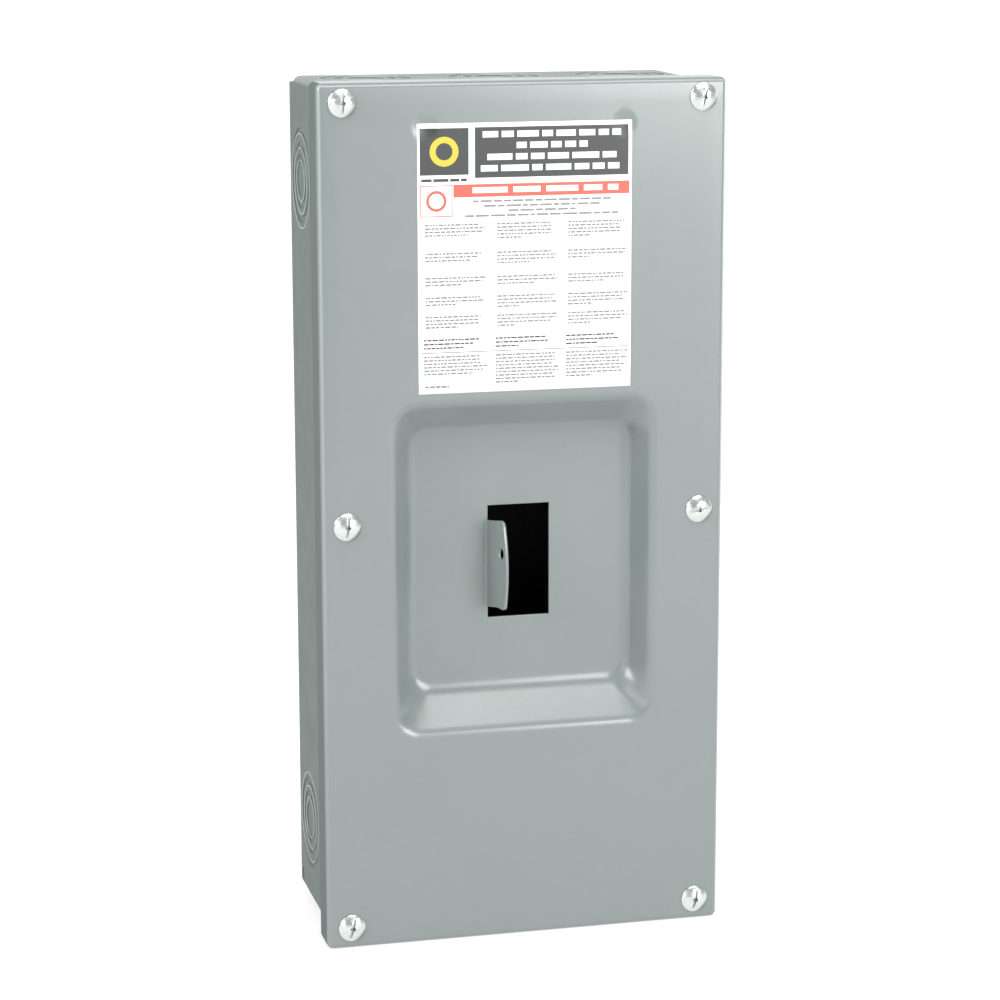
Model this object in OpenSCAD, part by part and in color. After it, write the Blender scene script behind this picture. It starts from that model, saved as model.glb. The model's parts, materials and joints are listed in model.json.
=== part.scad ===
// Surface-mounted sheet-steel subpanel enclosure for one moulded-case breaker.
// A folded box with knockouts, a lift-off pan cover with a recessed handle cut-out,
// a breaker pan, an insulated neutral and a ground bar.
// Millimetres. X is right, Z is up, the wall is the plane Y = 0 and the front faces -Y.
// The origin is the middle of the box's back face.

/* [Box] */
// Width of the folded box
box_w = 210.3; // [205:0.1:211]
// Height of the box over its end walls
box_h = 452.6; // [440:0.1:453]
// Thickness of the sheet steel
sheet = 1.5; // [1:0.1:1.8]
// Outside radius of the box's bends
bend_r = 3; // [2.5:0.5:4]
// Width of the front lips that take the cover screws
lip_w = 22; // [18:1:26]
// Spacing of the wall holes across
wall_hole_x = 150; // [140:1:160]
// Spacing of the wall holes up and down
wall_hole_z = 380; // [370:1:390]
// Diameter of a wall hole
wall_hole_d = 7.1; // [6:0.1:8]

/* [Cover] */
// Width of the cover
cover_w = 218; // [217:0.5:220]
// Height of the cover
cover_h = 460; // [459:0.5:462]
// Depth from the wall to the cover's front face
total_depth = 101; // [95:0.5:110]
// Depth of the cover's flanges
flange_d = 20.4; // [15:0.1:24]
// How far the cover's middle lies below the box's middle
cover_drop = 1.6; // [0:0.1:1.6]
// Outside radius of the cover's bends
cover_r = 3.2; // [2.5:0.1:4]

/* [Recess] */
// Width of the drawn recess at the front face
recess_w = 145.4; // [138:0.2:148]
// Height of the drawn recess at the front face
recess_h = 183; // [174:0.5:186]
// Width of the recess floor
floor_w = 110.8; // [106:0.2:116]
// Height of the recess floor
floor_h = 131; // [126:0.5:140]
// How far the floor's middle lies above the recess's middle
floor_rise = 2.3; // [0:0.1:4]
// Depth of the recess
recess_depth = 15.5; // [12:0.5:18]
// How far the recess's middle lies below the cover's middle
recess_drop = 25.2; // [20:0.2:30]
// Width of the handle cut-out
cutout_w = 33.8; // [30:0.2:38]
// Height of the handle cut-out
cutout_h = 61.2; // [56:0.2:66]

/* [Padlock tab] */
// Height of the tab at its root
tab_h = 48; // [44:0.5:50]
// Reach of the tab out of the recess floor
tab_reach = 22.5; // [18:0.5:26]
// Angle that the tab leans away from square to the floor
tab_lean = 15; // [0:1:20]
// Diameter of the padlock hole
padlock_d = 6.4; // [5:0.2:7]

/* [Cover screws] */
// Distance of a cover screw from the cover's side edge
screw_in_x = 13.2; // [12:0.1:14]
// Spacing of the screws up and down
screw_pitch = 219.2; // [217:0.1:219.4]
// How far the middle screws lie above the cover's middle
screw_rise = 0.8; // [0:0.1:1]
// Diameter of a screw head
head_d = 14.6; // [13:0.1:15]
// Height of a screw head
head_h = 3.1; // [2.6:0.1:3.6]
// Diameter of a screw shank
shank_d = 6.35; // [6:0.05:6.4]

/* [Knockouts] */
// Spacing of the knockouts along the end walls
ko_spacing = 70; // [66:1:72]
// Distance of the knockouts from the wall
ko_out = 33; // [30:0.5:36]
// Height of the lower side knockouts above the box's bottom edge
ko_low = 45.1; // [40:0.1:50]
// Distance of the upper side knockouts below the box's top edge
ko_high = 50.3; // [45:0.1:55]
// Depth that a pierced ring is pushed in
ko_step = 0.45; // [0.2:0.05:0.7]

/* [Breaker pan] */
// Width of the breaker pan's raised face
pan_w = 128; // [120:1:134]
// Height of the breaker pan
pan_h = 186; // [180:1:192]
// Distance of the raised face from the wall
pan_out = 16; // [14:0.5:20]
// Spacing of the breaker's tapped holes across
breaker_hole_x = 69.9; // [60:0.1:80]
// Spacing of the breaker's tapped holes up and down
breaker_hole_z = 127; // [120:1:135]
// Diameter of a breaker's tapped hole
breaker_hole_d = 4.2; // [3.5:0.1:5]

/* [Neutral and ground] */
// Length of the neutral bar
neutral_l = 112; // [106:1:116]
// Height of the neutral's middle above the box's middle
neutral_z = -152; // [-156:1:-148]
// Number of small neutral terminals
neutral_count = 6; // [4:1:6]
// Length of the ground bar
ground_l = 84; // [78:1:90]
// Height of the ground bar's middle above the box's middle
ground_z = 146; // [140:1:150]
// Number of ground terminals
ground_count = 6; // [4:1:6]

/* [Hidden] */
$fn = 64;
gap = 0.1;
cover_gap = 0.3;
lap = 0.05;
cover_z = -cover_drop;
recess_z = cover_z - recess_drop;
front_y = -total_depth;
lip_y = front_y + sheet + cover_gap;
box_d = -lip_y;
// Trade sizes of the concentric knockouts, outermost first, ending with the middle disc
ko_sizes = [50.0, 43.7, 34.9, 28.2, 22.2];
ground_ko_d = 7;
ground_ko_out = 9;
ground_ko_up = 8;
end_gap = 0.45;
end_w = box_w - 2 * sheet - 2 * end_gap;
end_flange = 14;
end_drop = 3;
end_r = 4.5;
end_mid_y = -(box_d + sheet) / 2;
end_depth = box_d - sheet - 2 * end_gap;
notch_d = sheet + end_gap + 2 * gap;
dent_d = 14;
dent_depth = 0.7;
dent_x = 52.8;
dent_z = 207.1;
label_w = 114.3;
label_h = 139.7;
label_z = 139;
label_t = 0.15;
screw_x = cover_w / 2 - screw_in_x;
screw_zs = [for (i = [-1 : 1]) screw_rise + i * screw_pitch];
screw_l = 15;
screw_hole_d = shank_d + 0.15;
lip_hole_d = shank_d + 0.7;
nut_d = 10.4;
nut_h = 5;
nut_bore_d = shank_d + 0.35;
tab_top = cover_z - recess_drop + 22.6;
foot_w = 14;
stud_d = 4.8;
stud_l = 9;
stud_x = pan_w / 2 + foot_w / 2;
stud_z = pan_h / 2 - 22;
post_d = 9;
post_h = 4;
barrier_t = 0.8;
barrier_w = pan_w - 6;
barrier_h = pan_h - 6;
rivet_x = barrier_w / 2 - 8;
rivet_z = barrier_h / 2 - 8;
neutral_base_h = 24;
neutral_base_t = 16;
neutral_bar_h = 13;
neutral_bar_t = 11;
neutral_pitch = 9;
neutral_post_x = neutral_l / 2 - 26;
lug_w = 20;
lug_t = 24;
lug_h = 26;
lug_bore_d = 13;
lug_screw_d = 11;
neutral_base_y = -sheet - post_h - gap;
neutral_bar_y = neutral_base_y - neutral_base_t - gap;
lug_y = neutral_bar_y - neutral_bar_t - gap;
lug_x = neutral_l / 2 - lug_w / 2;
ground_bar_h = 10;
ground_bar_t = 9;
ground_pitch = 10;
ground_post_x = ground_l / 2 - 6;
ground_y = -sheet - post_h - gap;
strap_w = 12;
strap_t = 1.2;
strap_x = neutral_l / 2 + 8;

// ---- shared shapes ----

// A cylinder along Y, from y0 to y1, at x and z
module rod(d, y0, y1, x = 0, z = 0) {
    translate([x, y0, z]) rotate([-90, 0, 0]) cylinder(d = d, h = y1 - y0);
}

// Tray outline: u across, v from the face at 0 to the open side at d, bends of radius r
module tray_profile(w, d, r) {
    translate([-w / 2, r]) square([w, d - r]);
    translate([-w / 2 + r, 0]) square([w - 2 * r, r + lap]);
    for (s = [-1, 1]) translate([s * (w / 2 - r), r]) circle(r);
}

// A block with bends along the four edges of its front face, which lies at y = 0
module tray_block(w, h, d, r) {
    intersection() {
        translate([0, 0, -h / 2]) linear_extrude(h) tray_profile(w, d, r);
        rotate([0, -90, 0]) translate([0, 0, -w / 2]) linear_extrude(w) tray_profile(h, d, r);
    }
}

// An upright plate with rounded corners, from y0 to y1
module rounded_plate(w, h, r, y0, y1) {
    translate([-w / 2 + r, y0, -h / 2]) cube([w - 2 * r, y1 - y0, h]);
    translate([-w / 2, y0, -h / 2 + r]) cube([w, y1 - y0, h - 2 * r]);
    for (sx = [-1, 1], sz = [-1, 1]) rod(2 * r, y0, y1, sx * (w / 2 - r), sz * (h / 2 - r));
}

// A plate between two opposite corners, centred in x
module plate(w, y0, y1, z0, z1) {
    translate([-w / 2, y0, z0]) cube([w, y1 - y0, z1 - z0]);
}

module at_corners(x, z) {
    for (sx = [-1, 1], sz = [-1, 1]) translate([sx * x, 0, sz * z]) children();
}

// Concentric knockout pierced in a sheet whose outside is z = 0 and whose inside is z = -sheet.
// Every other ring is pushed in by ko_step: the groove that leaves outside.
module knockout_grooves() {
    for (i = [0 : 2 : len(ko_sizes) - 1]) translate([0, 0, -ko_step]) knockout_ring(i, 1);
}

// The same rings standing proud on the inside
module knockout_bumps() {
    for (i = [0 : 2 : len(ko_sizes) - 1]) {
        translate([0, 0, -sheet - ko_step]) knockout_ring(i, ko_step + lap);
    }
}

// Ring i of the knockout; the last one is the middle disc
module knockout_ring(i, h) {
    inner = i + 1 < len(ko_sizes) ? ko_sizes[i + 1] : 0;
    difference() {
        cylinder(d = ko_sizes[i], h = h);
        if (inner > 0) translate([0, 0, -1]) cylinder(d = inner, h = h + 2);
    }
}

// Places a knockout on the left (-1) or right (1) side wall
module on_side(side, z) {
    translate([side * box_w / 2, -ko_out, z]) rotate([0, side * 90, 0]) children();
}

module hex_nut(across_corners, bore, y0, y1) {
    difference() {
        translate([0, y0, 0]) rotate([-90, 0, 0]) cylinder(d = across_corners, h = y1 - y0, $fn = 6);
        rod(bore, y0 - 1, y1 + 1);
    }
}

// A slotted cheese-head screw pointing back: head from y0, shank of length l behind it
module slotted_screw(head, head_t, shank, l, y0) {
    difference() {
        rod(head, y0, y0 + head_t);
        translate([-head, y0 - 1, -0.6]) cube([2 * head, 2.1, 1.2]);
    }
    rod(shank, y0 + head_t - lap, y0 + head_t + l);
}

// ---- box ----

module wrap_profile() {
    mirror([0, 1]) difference() {
        tray_profile(box_w, box_d, bend_r);
        translate([0, sheet]) tray_profile(box_w - 2 * sheet, box_d, bend_r - sheet);
    }
    for (s = [-1, 1]) {
        translate([s * (box_w - lip_w) / 2 - lip_w / 2, -box_d]) square([lip_w, sheet]);
    }
}

module side_knockouts() {
    for (side = [-1, 1]) {
        on_side(side, -box_h / 2 + ko_low) children();
        on_side(side, box_h / 2 - ko_high) children();
    }
}

module box_body() {
    color("#8d9494") {
        difference() {
            translate([0, 0, -box_h / 2 + end_drop]) linear_extrude(box_h - 2 * end_drop) wrap_profile();
            side_knockouts() knockout_grooves();
            for (side = [-1, 1]) {
                translate([side * (box_w / 2), -ground_ko_out, -box_h / 2 + ground_ko_up])
                    rotate([0, side * 90, 0])
                    translate([0, 0, -ko_step]) cylinder(d = ground_ko_d, h = 1);
            }
            at_corners(wall_hole_x / 2, wall_hole_z / 2) rod(wall_hole_d, -sheet - 1, 1);
            for (sx = [-1, 1], z = screw_zs) {
                rod(lip_hole_d, lip_y - 1, lip_y + sheet + 1, sx * screw_x, cover_z + z);
            }
            rod(5.1, -sheet - 1, 1, strap_x, neutral_z);
        }
        side_knockouts() knockout_bumps();
        at_corners(stud_x, stud_z) translate([0, 0, recess_z]) rod(stud_d, -sheet - stud_l, -lap);
        for (s = [-1, 1]) {
            box_post(s * neutral_post_x, neutral_z);
            box_post(s * ground_post_x, ground_z);
        }
    }
}

// A round post standing on the back wall, tapped for a bar's mounting screw
module box_post(x, z) {
    difference() {
        rod(post_d, -sheet - post_h, -lap, x, z);
        rod(4.1, -sheet - post_h - 1, -sheet, x, z);
    }
}

// A block whose top face is z = 0, with bends along its left and right top edges
module end_block(w, d, r) {
    translate([0, end_mid_y + d / 2, 0]) rotate([90, 0, 0])
        linear_extrude(d) mirror([0, 1]) tray_profile(w, end_flange, r);
}

// An end wall as a shallow tray: outside face at z = 0, four flanges down, knockouts in a row
module end_wall() {
    difference() {
        end_block(end_w, end_depth, end_r);
        translate([0, 0, -sheet])
            end_block(end_w - 2 * sheet, end_depth - 2 * sheet, end_r - sheet);
        for (x = [-ko_spacing, 0, ko_spacing]) translate([x, -ko_out, 0]) knockout_grooves();
        // the front flange is left out beside the box's lips and nuts
        for (s = [-1, 1]) {
            translate([s * (box_w - lip_w - gap) / 2, -box_d + notch_d / 2 - lap, -end_flange / 2])
                cube([lip_w + gap, notch_d, end_flange + 2], center = true);
        }
    }
    for (x = [-ko_spacing, 0, ko_spacing]) translate([x, -ko_out, 0]) knockout_bumps();
}

module top_end_wall() {
    color("#8d9494") translate([0, 0, box_h / 2]) end_wall();
}

module bottom_end_wall() {
    color("#8d9494") mirror([0, 0, 1]) translate([0, 0, box_h / 2]) end_wall();
}

// Six weld nuts behind the lips
module cover_screw_nuts() {
    color("#b9bcbc") for (sx = [-1, 1], z = screw_zs) {
        translate([sx * screw_x, 0, cover_z + z])
            hex_nut(nut_d, nut_bore_d, lip_y + sheet + gap, lip_y + sheet + gap + nut_h);
    }
}

// ---- breaker pan ----

// A hat section: raised face, two legs and two feet, with the breaker's tapped holes
module breaker_pan() {
    color("#2e3031") translate([0, 0, recess_z]) difference() {
        union() {
            plate(pan_w, -pan_out, -pan_out + sheet, -pan_h / 2, pan_h / 2);
            for (s = [-1, 1]) {
                translate([s * (pan_w - sheet) / 2, 0, 0])
                    plate(sheet, -pan_out, -sheet - gap, -pan_h / 2, pan_h / 2);
                translate([s * (pan_w + foot_w) / 2 - s * lap, 0, 0])
                    plate(foot_w + 2 * lap, -2 * sheet - gap, -sheet - gap, -pan_h / 2, pan_h / 2);
            }
        }
        at_corners(breaker_hole_x / 2, breaker_hole_z / 2)
            rod(breaker_hole_d, -pan_out - 1, -pan_out + sheet + 1);
        at_corners(stud_x, stud_z) rod(stud_d + 0.5, -2 * sheet - 1, 0);
        at_corners(rivet_x, rivet_z) rod(4.1, -pan_out - 1, -pan_out + sheet + 1);
    }
}

module pan_nuts() {
    color("#c3c6c6") translate([0, 0, recess_z]) at_corners(stud_x, stud_z)
        hex_nut(9.2, stud_d + 0.1, -2 * sheet - gap - 4, -2 * sheet - gap);
}

module insulating_barrier() {
    color("#131415") translate([0, 0, recess_z]) difference() {
        plate(barrier_w, -pan_out - barrier_t, -pan_out, -barrier_h / 2, barrier_h / 2);
        at_corners(breaker_hole_x / 2, breaker_hole_z / 2)
            rod(breaker_hole_d + 1.4, -pan_out - 2, -pan_out + 1);
        at_corners(rivet_x, rivet_z) rod(4.1, -pan_out - 2, -pan_out + 1);
    }
}

module barrier_rivets() {
    color("#1b1c1d") translate([0, 0, recess_z]) at_corners(rivet_x, rivet_z) {
        rod(8, -pan_out - barrier_t - 1.4, -pan_out - barrier_t);
        rod(4, -pan_out - barrier_t - lap, -pan_out + sheet + 2);
    }
}

// ---- neutral ----

module neutral_base() {
    color("#1d1f20") difference() {
        union() {
            plate(neutral_l, neutral_base_y - neutral_base_t, neutral_base_y,
                  neutral_z - neutral_base_h / 2, neutral_z + neutral_base_h / 2);
            for (s = [-1, 1]) {
                plate(neutral_l, neutral_bar_y - neutral_bar_t / 2, neutral_base_y,
                      neutral_z + s * (neutral_base_h / 2 - 1.5) - 1.5,
                      neutral_z + s * (neutral_base_h / 2 - 1.5) + 1.5);
            }
        }
        for (s = [-1, 1]) rod(4.3, neutral_base_y - 40, 0, s * neutral_post_x, neutral_z);
    }
}

module neutral_bar() {
    color("#c9ccca") difference() {
        plate(neutral_l, neutral_bar_y - neutral_bar_t, neutral_bar_y,
              neutral_z - neutral_bar_h / 2, neutral_z + neutral_bar_h / 2);
        for (s = [-1, 1]) rod(4.3, neutral_bar_y - 40, 0, s * neutral_post_x, neutral_z);
        for (i = [0 : neutral_count - 1]) {
            x = (i - (neutral_count - 1) / 2) * neutral_pitch;
            translate([x, neutral_bar_y - neutral_bar_t / 2, neutral_z])
                cylinder(d = 5.2, h = 40, center = true);
            rod(4.1, neutral_bar_y - neutral_bar_t - 1, neutral_bar_y - neutral_bar_t / 2, x, neutral_z);
        }
    }
}

// Long screws through the bar and its base into the box's posts
module neutral_base_screws() {
    color("#c3c6c6") for (s = [-1, 1]) translate([s * neutral_post_x, 0, neutral_z])
        slotted_screw(7.4, 2.6, 4, 31, neutral_bar_y - neutral_bar_t - 2.6);
}

module neutral_terminal_screws() {
    color("#c3c6c6") for (i = [0 : neutral_count - 1]) {
        translate([(i - (neutral_count - 1) / 2) * neutral_pitch, 0, neutral_z])
            slotted_screw(6.6, 2.4, 4, 3.4, neutral_bar_y - neutral_bar_t - 3.2);
    }
}

// A box lug standing on the bar: wire bore along Z, tapped for a set screw along Y
module neutral_lug(side) {
    color("#d3d6d4") translate([side * lug_x, 0, neutral_z]) difference() {
        plate(lug_w, lug_y - lug_t, lug_y, -lug_h / 2, lug_h / 2);
        translate([0, lug_y - lug_t + 15, 0]) cylinder(d = lug_bore_d, h = 2 * lug_h, center = true);
        rod(lug_screw_d + 0.15, lug_y - lug_t - 1, lug_y - lug_t + 12);
    }
}

module neutral_lug_left() {
    neutral_lug(-1);
}

module neutral_lug_right() {
    neutral_lug(1);
}

// A set screw with a hexagon socket
module neutral_lug_screw(side) {
    color("#aeb1b0") translate([side * lug_x, 0, neutral_z]) difference() {
        rod(lug_screw_d, lug_y - lug_t - 1.5, lug_y - lug_t + 10);
        translate([0, lug_y - lug_t - 2, 0]) rotate([-90, 0, 0]) cylinder(d = 6.4, h = 6, $fn = 6);
    }
}

module neutral_lug_screw_left() {
    neutral_lug_screw(-1);
}

module neutral_lug_screw_right() {
    neutral_lug_screw(1);
}

// A copper strap from the end of the neutral bar down to the box
module bonding_strap() {
    strap_in = neutral_l / 2 + gap;
    bar_mid_y = neutral_bar_y - neutral_bar_t / 2;
    color("#b8794a") translate([0, 0, neutral_z]) difference() {
        union() {
            translate([strap_in, bar_mid_y, -strap_w / 2])
                cube([strap_t, -sheet - gap - bar_mid_y, strap_w]);
            translate([strap_in, -sheet - gap - strap_t, -strap_w / 2])
                cube([strap_x - strap_in + strap_w / 2, strap_t, strap_w]);
        }
        rod(5.3, -10, 0, strap_x, 0);
    }
}

module bonding_screw() {
    color("#3f7d4d") translate([strap_x, 0, neutral_z]) {
        difference() {
            translate([0, -sheet - gap - strap_t - 3.4, 0]) rotate([-90, 0, 0])
                cylinder(d = 10.4, h = 3.4, $fn = 6);
            translate([-10, -sheet - gap - strap_t - 4.4, -0.7]) cube([20, 2.4, 1.4]);
        }
        rod(5, -sheet - gap - strap_t - lap, -0.2);
    }
}

// ---- ground ----

module ground_bar() {
    color("#c9ccca") difference() {
        plate(ground_l, ground_y - ground_bar_t, ground_y,
              ground_z - ground_bar_h / 2, ground_z + ground_bar_h / 2);
        for (s = [-1, 1]) rod(4.3, ground_y - 40, 0, s * ground_post_x, ground_z);
        for (i = [0 : ground_count - 1]) {
            x = (i - (ground_count - 1) / 2) * ground_pitch;
            translate([x, ground_y - ground_bar_t / 2, ground_z])
                cylinder(d = 4.8, h = 40, center = true);
            rod(4.1, ground_y - ground_bar_t - 1, ground_y - ground_bar_t / 2, x, ground_z);
        }
    }
}

module ground_bar_screws() {
    color("#c3c6c6") for (s = [-1, 1]) translate([s * ground_post_x, 0, ground_z])
        slotted_screw(7.4, 2.6, 4, 12.8, ground_y - ground_bar_t - 2.6);
}

module ground_terminal_screws() {
    color("#4c8a58") for (i = [0 : ground_count - 1]) {
        translate([(i - (ground_count - 1) / 2) * ground_pitch, 0, ground_z])
            slotted_screw(6.6, 2.4, 4, 2.9, ground_y - ground_bar_t - 3);
    }
}

// ---- cover ----

// The recess as a block from depth y0 to y1, its walls grown by the given amount
module recess_block(y0, y1, grow) {
    hull() {
        rounded_plate(recess_w + 2 * grow, recess_h + 2 * grow, 15, y0, y0 + lap, $fn = 32);
        translate([0, 0, floor_rise])
            rounded_plate(floor_w + 2 * grow, floor_h + 2 * grow, 9, y1 - lap, y1, $fn = 32);
    }
}

module cover() {
    bulge_r = (dent_d * dent_d / 4 + dent_depth * dent_depth) / (2 * dent_depth);
    color("#98a09f") translate([0, front_y, cover_z]) difference() {
        union() {
            difference() {
                tray_block(cover_w, cover_h, flange_d, cover_r);
                translate([0, sheet, 0]) tray_block(cover_w - 2 * sheet, cover_h - 2 * sheet,
                                                    flange_d, cover_r - sheet);
            }
            translate([0, 0, -recess_drop]) recess_block(sheet / 2, recess_depth + sheet, sheet);
            for (s = [-1, 1]) intersection() {
                translate([s * dent_x, sheet + dent_depth - bulge_r, dent_z]) sphere(bulge_r, $fn = 96);
                rod(dent_d, sheet / 2, 2 * sheet, s * dent_x, dent_z);
            }
        }
        translate([0, 0, -recess_drop]) recess_block(-lap, recess_depth, 0);
        translate([0, 0, -recess_drop])
            plate(cutout_w, recess_depth - 1, recess_depth + sheet + 1, -cutout_h / 2, cutout_h / 2);
        for (s = [-1, 1]) translate([s * dent_x, dent_depth - bulge_r, dent_z]) sphere(bulge_r, $fn = 96);
        for (sx = [-1, 1], z = screw_zs) rod(screw_hole_d, -1, sheet + 1, sx * screw_x, z);
    }
}

// The tab beside the cut-out: a plate with rounded outer corners that leans over the cut-out
module padlock_tab() {
    corner = 4;
    root_y = recess_depth + sheet;
    hole_out = 0.7 * (tab_reach + sheet);
    color("#98a09f") translate([-cutout_w / 2 + gap, front_y + root_y, tab_top - tab_h / 2])
        rotate([0, 0, tab_lean]) difference() {
            union() {
                translate([0, -tab_reach + corner, -tab_h / 2]) cube([sheet, tab_reach - corner, tab_h]);
                translate([0, -tab_reach, -tab_h / 2 + corner]) cube([sheet, corner + lap, tab_h - 2 * corner]);
                for (s = [-1, 1]) translate([0, -tab_reach + corner, s * (tab_h / 2 - corner)])
                    rotate([0, 90, 0]) cylinder(r = corner, h = sheet);
            }
            translate([-1, -hole_out, 7]) rotate([0, 90, 0]) cylinder(d = padlock_d, h = sheet + 2);
        }
}

module instruction_label() {
    color("#f2f2ee") translate([0, front_y - label_t - 0.02, cover_z + label_z])
        plate(label_w, 0, label_t, -label_h / 2, label_h / 2);
}

// A truss-head screw with a slot and a small cross
module cover_screw(side, z) {
    rim = 0.7;
    dome = head_h - rim;
    dome_r = (head_d * head_d / 4 + dome * dome) / (2 * dome);
    slot_w = 1.7;
    slot_depth = 1.4;
    color("#d5d8d8") translate([side * screw_x, front_y - 0.02, cover_z + z]) {
        difference() {
            intersection() {
                rod(head_d, -head_h, 0);
                translate([0, dome_r - head_h, 0]) sphere(dome_r, $fn = 96);
            }
            translate([-head_d, -head_h - 1, -slot_w / 2]) cube([2 * head_d, slot_depth + 1, slot_w]);
            translate([-slot_w / 2, -head_h - 1, -3.4]) cube([slot_w, slot_depth + 1.6, 6.8]);
        }
        rod(shank_d, -lap, screw_l);
    }
}

module cover_screw_top_left() {
    cover_screw(-1, screw_zs[2]);
}

module cover_screw_top_right() {
    cover_screw(1, screw_zs[2]);
}

module cover_screw_middle_left() {
    cover_screw(-1, screw_zs[1]);
}

module cover_screw_middle_right() {
    cover_screw(1, screw_zs[1]);
}

module cover_screw_bottom_left() {
    cover_screw(-1, screw_zs[0]);
}

module cover_screw_bottom_right() {
    cover_screw(1, screw_zs[0]);
}

box_body();
top_end_wall();
bottom_end_wall();
cover_screw_nuts();
breaker_pan();
pan_nuts();
insulating_barrier();
barrier_rivets();
neutral_base();
neutral_bar();
neutral_base_screws();
neutral_terminal_screws();
neutral_lug_left();
neutral_lug_right();
neutral_lug_screw_left();
neutral_lug_screw_right();
bonding_strap();
bonding_screw();
ground_bar();
ground_bar_screws();
ground_terminal_screws();
cover();
padlock_tab();
instruction_label();
cover_screw_top_left();
cover_screw_top_right();
cover_screw_middle_left();
cover_screw_middle_right();
cover_screw_bottom_left();
cover_screw_bottom_right();
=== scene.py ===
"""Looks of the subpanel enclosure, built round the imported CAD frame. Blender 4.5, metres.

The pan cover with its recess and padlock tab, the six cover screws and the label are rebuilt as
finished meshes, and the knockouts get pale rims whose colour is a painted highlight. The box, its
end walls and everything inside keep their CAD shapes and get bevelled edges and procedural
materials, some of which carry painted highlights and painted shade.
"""
import json
import math
import random

import bmesh
import bpy
from mathutils import Matrix, Vector


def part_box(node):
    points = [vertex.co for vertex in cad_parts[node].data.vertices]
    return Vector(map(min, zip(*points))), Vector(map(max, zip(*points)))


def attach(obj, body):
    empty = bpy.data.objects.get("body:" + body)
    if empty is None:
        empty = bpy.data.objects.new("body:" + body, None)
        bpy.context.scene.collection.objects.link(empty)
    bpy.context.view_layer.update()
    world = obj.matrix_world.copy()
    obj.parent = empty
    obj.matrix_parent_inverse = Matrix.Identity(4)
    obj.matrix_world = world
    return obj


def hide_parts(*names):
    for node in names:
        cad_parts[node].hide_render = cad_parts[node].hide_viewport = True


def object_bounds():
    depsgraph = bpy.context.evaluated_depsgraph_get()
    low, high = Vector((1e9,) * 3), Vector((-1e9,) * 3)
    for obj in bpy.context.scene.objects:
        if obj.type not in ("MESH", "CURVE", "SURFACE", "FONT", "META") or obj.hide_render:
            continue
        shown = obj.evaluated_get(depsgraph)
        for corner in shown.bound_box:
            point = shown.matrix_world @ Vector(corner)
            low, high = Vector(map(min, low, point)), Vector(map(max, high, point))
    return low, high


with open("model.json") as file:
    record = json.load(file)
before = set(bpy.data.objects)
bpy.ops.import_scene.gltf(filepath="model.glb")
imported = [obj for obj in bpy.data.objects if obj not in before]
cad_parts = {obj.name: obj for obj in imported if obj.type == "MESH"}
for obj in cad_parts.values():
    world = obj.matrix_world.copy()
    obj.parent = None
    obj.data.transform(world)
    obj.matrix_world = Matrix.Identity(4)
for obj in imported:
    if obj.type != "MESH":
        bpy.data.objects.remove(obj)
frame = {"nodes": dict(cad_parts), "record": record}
cad_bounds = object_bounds()

MM = 0.001
NODES = frame["nodes"]

# ---- places taken from the frame ----

COVER_LOW, COVER_HIGH = (Vector(corner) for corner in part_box("cover"))
COVER_MID = (COVER_LOW + COVER_HIGH) / 2
COVER_W = COVER_HIGH.x - COVER_LOW.x
COVER_H = COVER_HIGH.z - COVER_LOW.z
FLANGE = COVER_HIGH.y - COVER_LOW.y
FRONT_Y = COVER_LOW.y
LABEL_LOW, LABEL_HIGH = (Vector(corner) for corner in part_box("instruction_label"))
SCREWS = [node for node in NODES if node.startswith("cover_screw_") and node != "cover_screw_nuts"]

# ---- sizes of the cover's pressed shapes ----

SHEET = 1.5 * MM
BEND_R = 3.2 * MM
RECESS_Z = COVER_MID.z - 25.2 * MM
RECESS_W, RECESS_H, RECESS_R = 145.4 * MM, 183 * MM, 15 * MM
FLOOR_W, FLOOR_H, FLOOR_R = 110.8 * MM, 131 * MM, 6 * MM
FLOOR_Z = RECESS_Z + 2.3 * MM
RECESS_DEPTH = 15.5 * MM
LIP_FILLET, FLOOR_FILLET = 5.2 * MM, 8 * MM
SIDE_RUN = (RECESS_W - FLOOR_W) / 2
CUTOUT_W, CUTOUT_H = 33.8 * MM, 61.2 * MM
DENT_X, DENT_Z = 52.8 * MM, COVER_MID.z + 207.1 * MM
DENT_R, DENT_DEPTH = 7.5 * MM, 0.8 * MM
TAB_H, TAB_REACH, TAB_LEAN, TAB_SLANT = 47 * MM, 22.5 * MM, math.radians(13), 0.17
TAB_TOP = RECESS_Z + 22.6 * MM
TAB_BEND_R = 1.8 * MM
TAB_HOOK = 1.2 * MM
TAB_BOW = 3 * MM
TAB_TOP_R, TAB_FOOT_R = 4.5 * MM, 2.4 * MM
PADLOCK_R = 3.2 * MM
PADLOCK_FROM_EDGE, PADLOCK_ABOVE_MIDDLE = 6.2 * MM, 5.5 * MM

# ---- cover screws ----

HEAD_RIM = 0.55 * MM
SHANK_R, SHANK_TIP_R = 3.1 * MM, 0.9 * MM
THREAD_PITCH, THREAD_DEPTH = 1.27 * MM, 0.45 * MM
SLOT_W, SLOT_DEPTH = 1.35 * MM, 1.3 * MM
CROSS_W, CROSS_H, CROSS_DEPTH = 4.2 * MM, 1.5 * MM, 1.9 * MM
PIT_W, PIT_DEPTH = 2.6 * MM, 2.2 * MM
# How far each slot is turned from level, in degrees
SLOT_TURNS = {"top_left": 3, "top_right": 14, "middle_left": 8, "middle_right": 80, "bottom_left": 16,
              "bottom_right": 14}

# ---- label ----

LABEL_LIFT, FILM = 0.14 * MM, 0.12 * MM
INK_LIFT, UPPER_INK_LIFT = 0.165 * MM, 0.19 * MM

# ---- rims of the knockouts: distance from the wall, from the box body's ends, spacing ----

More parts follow.
